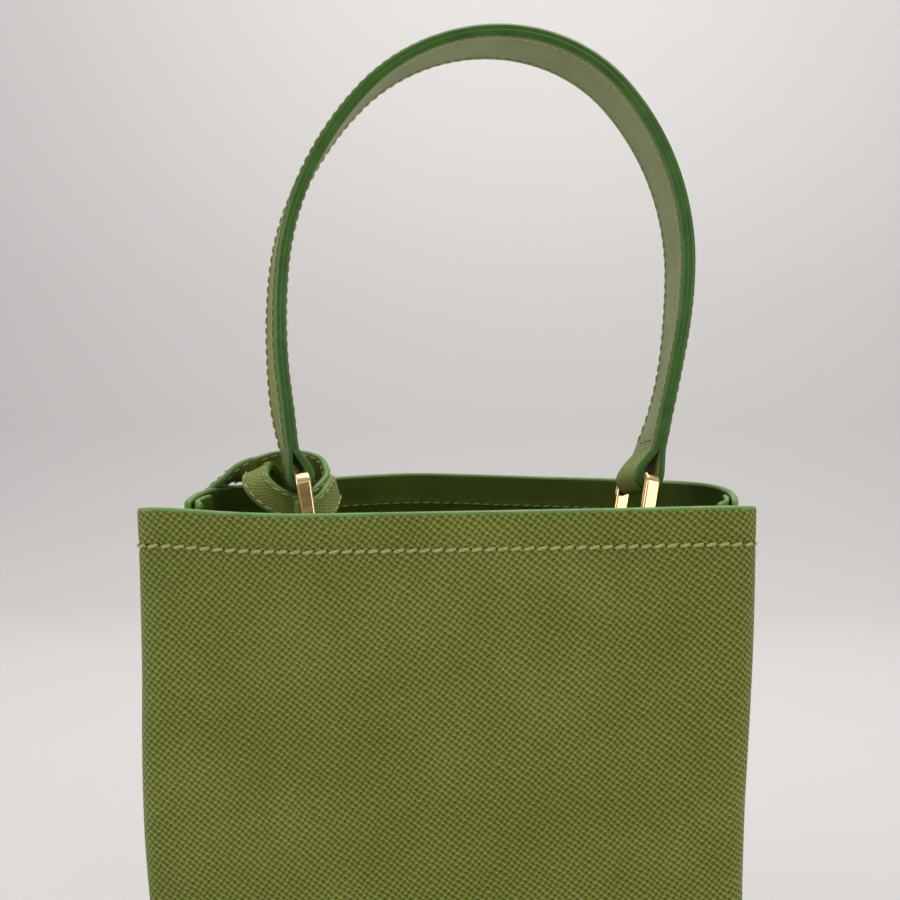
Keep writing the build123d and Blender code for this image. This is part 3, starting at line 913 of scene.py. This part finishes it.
def arch_half(offset):
    """(x, rise) from the right leg's end to the crown, moved out by offset."""
    line = []
    end = -math.asin(LEG_SINE)
    for a in np.linspace(end, 0, 34)[:-1]:
        line.append((ARCH_HALF_W - LEG_R + (LEG_R + offset) * math.cos(a),
                     SHOULDER_RISE + (LEG_R + offset) * math.sin(a)))
    for a in np.linspace(0, (90 - TOP_ANGLE) * DEG, 40)[:-1]:
        line.append((ARCH_HALF_W - SHOULDER_R + (SHOULDER_R + offset) * math.cos(a),
                     SHOULDER_RISE + (SHOULDER_R + offset) * math.sin(a)))
    for a in np.linspace((90 - TOP_ANGLE) * DEG, math.pi / 2, 40):
        line.append(((TOP_R + offset) * math.cos(a), TOP_RISE + (TOP_R + offset) * math.sin(a)))
    return np.array(line)


def loop_line(offset):
    """(x, rise) of the ply from its butt end on the inner face, round the right ring's top bar,
    to the leg's end on the outer face."""
    bar = np.array([BAR_X, BAR_RISE])
    inner_end = arch_half(-offset)[0]
    up = (arch_half(0.0)[0] - bar)
    height = np.linalg.norm(up)
    up = up / height
    out = np.array([up[1], -up[0]])
    radius = BAR_GAP_R + offset
    reach = math.hypot(offset, height)
    start = math.atan2(height, offset) - math.acos(radius / reach)
    points = [inner_end]
    for a in np.linspace(math.pi - start, 2 * math.pi + start, 40):
        points.append(bar + out * radius * math.cos(a) + up * radius * math.sin(a))
    line = resampled(np.array(points), step=0.8)[0]
    return eased(line, 5)


def yaw_along(line):
    """The strap's yaw in degrees at each (x, rise): more in the legs, less over the crown."""
    rise = line[:, 1]
    legs = smooth(rise, 10, 30)
    side = np.clip(-line[:, 0] / 74, -1, 1)
    left, right = np.clip(side, 0, 1), np.clip(-side, 0, 1)
    turn = 4.5 * side - 1.0
    turn += (left * 3.0 * np.exp(-((rise - 30) / 14) ** 2)
             - right * 6.0 * np.exp(-((rise - 42) / 22) ** 2))
    return SKEW + legs * turn


def handle_frames(line):
    """Centre line, up and across directions in space for a line in the arch's plane."""
    tangent = unit(np.gradient(line, axis=0))
    out2 = np.stack([-tangent[:, 1], tangent[:, 0]], 1)
    yaw = yaw_along(line) * DEG
    drift = ARCH_SWING * np.clip(line[:, 1] - 12, 0, None)
    centre = np.stack([line[:, 0] + drift, np.full(len(line), FLEX_Y), RIM_Z + line[:, 1]], 1)
    out = np.stack([out2[:, 0], np.zeros(len(line)), out2[:, 1]], 1)
    across = np.stack([-np.sin(yaw), np.cos(yaw), np.zeros(len(line))], 1)
    across *= 1 + ARCH_WIDER * smooth(line[:, 1], 20, 60)[:, None]
    return lean(centre), lean_direction(out), lean_direction(across)


def make_handle():
    ply = PLY_T / 2
    face = ply + FACE_SKIN
    surface = face + THREAD_OFF
    section = strap_section(STRAP_W, -ply, face, 0.85, 0.15)
    materials = ("strap", "handle_paint", "nappa")
    half, right_loop = arch_half(ply), loop_line(ply)
    whole = np.vstack([right_loop, half[1:], (half * [-1, 1])[::-1][1:],
                       (right_loop * [-1, 1])[::-1][1:]])
    outer = eased(resampled(whole, step=1.4)[0], 2)
    centre, up, across = handle_frames(outer)
    up = -up  # the line runs from right to left, so outwards is to its right
    piece = Piece()
    sweep(piece, centre, up, across, section)
    piece.make("handle_outer_strap", materials, "handle", ("handle_outer_ply",))

    half = arch_half(-ply)
    inner = resampled(np.vstack([half, (half * [-1, 1])[::-1][1:]]), step=1.4)[0]
    centre_i, up_i, across_i = handle_frames(inner)
    up_i = -up_i
    piece = Piece()
    sweep(piece, centre_i, up_i, across_i, [(w, -t, 2 - part) for w, t, part in section])
    piece.make("handle_inner_strap", materials, "handle",
               ("handle_core", "handle_inner_ply"))

    # stitching: outer face over the arch, inner face over the inner ply, and across above the loops
    edges = (-(STRAP_W / 2 - 1.9), STRAP_W / 2 - 1.5)
    keep = np.where(outer[:, 1] > 13)[0]
    keep = keep[(keep > 20) & (keep < len(outer) - 20)]
    top = centre[keep] + up[keep] * surface
    rows = [(top + across[keep] * w, up[keep]) for w in edges]
    stitches("handle_outer_stitching", rows, 4.0, 3.3, 0.36, 5, "handle")
    inside = slice(2, len(inner) - 2)
    under = centre_i - up_i * surface
    rows = [(under[inside] + across_i[inside] * w, -up_i[inside]) for w in edges]
    for end in (3, len(inner) - 4):
        spots = [under[end] + across_i[end] * w for w in np.linspace(-7, 7, 9)]
        rows.append((np.array(spots), np.tile(-up_i[end], (9, 1))))
    stitches("handle_inner_stitching", rows, 4.0, 3.2, 0.33, -5, "handle")


# ---------------------------------------------------------------- tabs

def make_tab(side, name):
    """A strap folded round the ring's bottom bar; both its ends are sewn to the gusset's fold."""
    up = unit(np.array([side * RING_SLOPE, 1.0]))
    bar = np.array([side * BAR_X, BAR_RISE]) - up * 23.0
    radius = BAR_GAP_R + 0.7
    gap = 0.75
    path = [(gap, -39.0), (gap, -27.0), (gap, -15.0), (gap, -9.0)]
    reach = math.hypot(gap, 9.0)
    first = math.atan2(-9.0, gap) + math.acos(radius / reach)
    path += [(radius * math.cos(a), radius * math.sin(a))
             for a in np.linspace(first, math.pi - first, 26)]
    path += [(-gap, -9.0), (-gap, -15.0), (-gap, -27.0), (-gap, -39.0)]
    path = eased(resampled(np.array(path), step=0.9)[0], 4)
    tangent = unit(np.gradient(path, axis=0))
    height = RIM_Z + bar[1] + path[:, 1]
    share = smooth(height, 168, 190)
    yaw = SKEW * share * DEG
    across2 = np.stack([np.cos(yaw), np.sin(yaw), np.zeros(len(path))], 1)
    wide = np.stack([-np.sin(yaw), np.cos(yaw), np.zeros(len(path))], 1)
    centre = np.stack([np.full(len(path), bar[0]), np.full(len(path), FLEX_Y), height], 1)
    centre = centre + across2 * path[:, :1]
    out = across2 * tangent[:, 1:2] - np.array([0, 0, 1.0]) * tangent[:, :1]
    angle = LEAN * smooth(height, 172, 184)
    centre, out, wide = lean(centre, angle), lean_direction(out, angle), lean_direction(wide, angle)
    piece = Piece()
    sweep(piece, centre, out, wide, strap_section(14.6, -0.65, 0.65, 0.5, 0.3, 0.1), 0.5)
    hand = name.split("_")[0]
    made = piece.make(name, ("strap", "paint", "nappa"), None,
                      (f"{hand}_tab", f"{hand}_tab_patch"))
    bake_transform(made)
    low = height < 171
    rows = []
    for second_half in (False, True):
        picked = np.where(low & ((np.arange(len(path)) > len(path) / 2) == second_half))[0]
        if len(picked) > 4:
            for w in (-5.8, 5.8):
                rows.append((centre[picked] + out[picked] * 0.67 + wide[picked] * w, out[picked]))
    stitches(name + "_stitching", rows, 3.6, 2.9, 0.32, 4, "bag")


# ---------------------------------------------------------------- lanyard and tag

LANYARD_W, LANYARD_T = 9.5, 2.4

# the knot's line: place, then the direction across the strap
KNOT = [
    ((-80.6, 12.9, 211.3), (0.12, -0.3, 0.94)),
    ((-74.6, 16.6, 213.0), (0.08, -0.2, 0.97)),
    ((-69.0, 18.3, 213.3), (0.0, -0.15, 0.98)),
    ((-63.4, 18.4, 212.9), (0.0, -0.1, 0.99)),
    ((-57.5, 16.2, 211.0), (-0.05, -0.08, 0.99)),
    ((-53.9, 11.3, 208.0), (-0.1, -0.05, 0.99)),
    ((-52.0, 5.8, 205.4), (-0.15, 0.05, 0.98)),
    ((-53.0, 0.8, 202.7), (-0.1, 0.15, 0.98)),
    ((-55.6, -2.6, 200.6), (0.0, 0.15, 0.98)),
    ((-60.4, -4.2, 199.4), (0.08, 0.15, 0.98)),
    ((-65.2, -5.6, 201.0), (0.35, 0.1, 0.92)),
    ((-69.8, -6.8, 204.2), (0.6, 0.12, 0.8)),
    ((-73.6, -6.2, 208.3), (0.76, 0.25, 0.62)),
    ((-75.0, -2.2, 211.3), (0.83, 0.38, 0.4)),
    ((-75.0, 4.0, 211.2), (0.75, 0.2, 0.6)),
    ((-73.8, 10.4, 207.0), (0.4, 0.0, 0.9)),
    ((-69.5, 15.8, 202.9), (0.1, -0.1, 0.98)),
    ((-62.5, 18.6, 201.4), (0.0, -0.1, 0.99)),
    ((-56.2, 17.2, 202.4), (-0.05, -0.1, 0.99)),
    ((-51.4, 12.6, 204.0), (-0.2, 0.0, 0.97)),
    ((-49.8, 6.4, 204.8), (-0.28, 0.05, 0.95)),
    ((-49.2, 0.6, 203.2), (-0.3, 0.12, 0.94)),
    ((-50.0, -4.2, 200.2), (-0.2, 0.2, 0.95)),
    ((-53.0, -6.9, 198.2), (-0.05, 0.15, 0.98)),
    ((-57.0, -7.1, 197.7), (0.0, 0.1, 0.99)),
    ((-60.0, -6.4, 197.7), (0.0, 0.1, 0.99)),
]


def strap_frames(line, across):
    """Up and across directions square to a line, from rough across directions."""
    tangent = unit(np.gradient(line, axis=0))
    across = unit(across - tangent * (across * tangent).sum(1, keepdims=True))
    return np.cross(across, tangent), across


def lanyard_piece(name, line, across, body, replaced):
    up, across = strap_frames(line, across)
    piece = Piece()
    half = LANYARD_T / 2
    sweep(piece, line, up, across, strap_section(LANYARD_W, -half, half, 0.7, 0.7, 0.2, 6), 0.1)
    made = piece.make(name, ("strap", "paint", "strap"), body, replaced)
    rows = [(line + up * face * (half + THREAD_OFF) + across * w, up * face)
            for face in (-1, 1) for w in (-3.45, 3.45)]
    stitches(name + "_stitching", rows, 3.7, 2.9, 0.3, 5, body)
    return made


STRAND_ROUTE = [
    (-0.0800, 0.0132, 0.2115),
    (-0.0985, 0.0120, 0.2072),
    (-0.1009, 0.0122, 0.1860),
    (-0.10045, 0.01154, 0.1610),
]


def spline_points(route):
    """The points of a smooth NURBS curve with the route's points as its control points."""
    data = bpy.data.curves.new("strand_route", "CURVE")
    data.dimensions = "3D"
    data.resolution_u = 24
    spline = data.splines.new("NURBS")
    spline.points.add(len(route) - 1)
    for point, place in zip(spline.points, route):
        point.co = (*place, 1.0)
    spline.order_u = 3
    spline.use_endpoint_u = True
    holder = bpy.data.objects.new("strand_route", data)
    bpy.context.scene.collection.objects.link(holder)
    bpy.context.view_layer.update()
    line = bpy.data.meshes.new_from_object(holder)
    points = [tuple(v.co) for v in line.vertices]
    bpy.data.objects.remove(holder)
    bpy.data.meshes.remove(line)
    bpy.data.curves.remove(data)
    return points


def make_lanyard():
    places = curve_through([p for p, _ in KNOT], 10)
    turns = curve_through([d for _, d in KNOT], 10)
    places, turns = resampled(places, step=1.0, extra=(turns,))
    lanyard_piece("lanyard_knot_strap", places, turns, "tabs", ("lanyard_knot",))

    line = np.array(spline_points(STRAND_ROUTE)) / MM
    line = resampled(line, step=1.0)[0]
    share = smooth(np.arange(len(line)) / (len(line) - 1), 0.0, 0.25)[:, None]
    standing = np.array([0.12, -0.3, 0.94])
    lying = np.array([0.0, -1.0, 0.0])
    across = standing * (1 - share) + lying * share
    strand = lanyard_piece("lanyard_strand_strap", line, across, "bag", ("lanyard_strand",))

    tag_edge()


def tag_outline(inset):
    """The key tag's outline in (y, z) from its top, a hull round five circles."""
    half = 15.0
    circles = [(0, -4.0, 4.5), (half - 4, -16, 4), (half - 6, -48, 6), (-half + 6, -48, 6),
               (-half + 4, -16, 4)]
    cloud = sorted((y + (r - inset) * math.cos(a), z + (r - inset) * math.sin(a))
                   for y, z, r in circles
                   for a in np.linspace(0, 2 * math.pi, 48, endpoint=False))

    def chain(points):
        kept = []
        for p in points:
            while len(kept) > 1 and (
                (kept[-1][0] - kept[-2][0]) * (p[1] - kept[-2][1])
                - (kept[-1][1] - kept[-2][1]) * (p[0] - kept[-2][0])
            ) <= 0:
                kept.pop()
            kept.append(p)
        return kept[:-1]

    hull = chain(cloud) + chain(cloud[::-1])
    hull.append(hull[0])
    return resampled(np.array(hull), step=1.5)[0]


TAG_X, TAG_Y, TAG_TOP = -100.45, 11.54, 152.6


def on_tag(outline, x):
    """An outline of the tag where it hangs, x to the side of its middle plane."""
    return np.column_stack([np.full(len(outline), TAG_X + x), outline + [TAG_Y, TAG_TOP]])


def tag_edge():
    """The tag's painted edge, a rounded bead over both plies, and its stitching."""
    outline = tag_outline(0.0)[:-1]
    tangent = unit(np.roll(outline, -1, 0) - np.roll(outline, 1, 0))
    out = np.stack([tangent[:, 1], -tangent[:, 0]], 1)
    piece = Piece()
    profile = [(-0.5, -1.56), (0.12, -1.56), (0.42, -1.0), (0.5, 0.0), (0.42, 1.0), (0.12, 1.56),
               (-0.5, 1.56)]
    count = len(outline)
    index = [piece.add(on_tag(outline + out * push, x)) for push, x in profile]
    for r in range(len(profile)):
        s = (r + 1) % len(profile)
        for k in range(count):
            m = (k + 1) % count
            piece.face([index[r][k], index[r][m], index[s][m], index[s][k]], [(0, 0)] * 4, 0)
    piece.make("tag_painted_edge", ("paint",), "tag")
    inner = tag_outline(2.2)
    rows = [(on_tag(inner, face * 1.52), np.tile([float(face), 0, 0], (len(inner), 1)))
            for face in (-1, 1)]
    stitches("tag_stitching", rows, 3.8, 3.0, 0.32, 4, "tag")


def dress(node, material):
    """A kept CAD node gets its material."""
    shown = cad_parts[node]
    shown.data.materials.clear()
    shown.data.materials.append(material)


make_camera()
make_world()
make_lights()
make_stage()
MATERIALS = make_materials()
make_body()
make_handle()
make_tab(-1, "left_tab_strap")
make_tab(1, "right_tab_strap")
make_lanyard()
for node in ("left_ring", "right_ring", "base_feet", "foot_washers", "tag_ring"):
    dress(node, MATERIALS["gold"])
for node in ("tag_outer_ply", "tag_inner_ply"):
    dress(node, MATERIALS["tag"])

bpy.context.scene.view_settings.view_transform = "Standard"
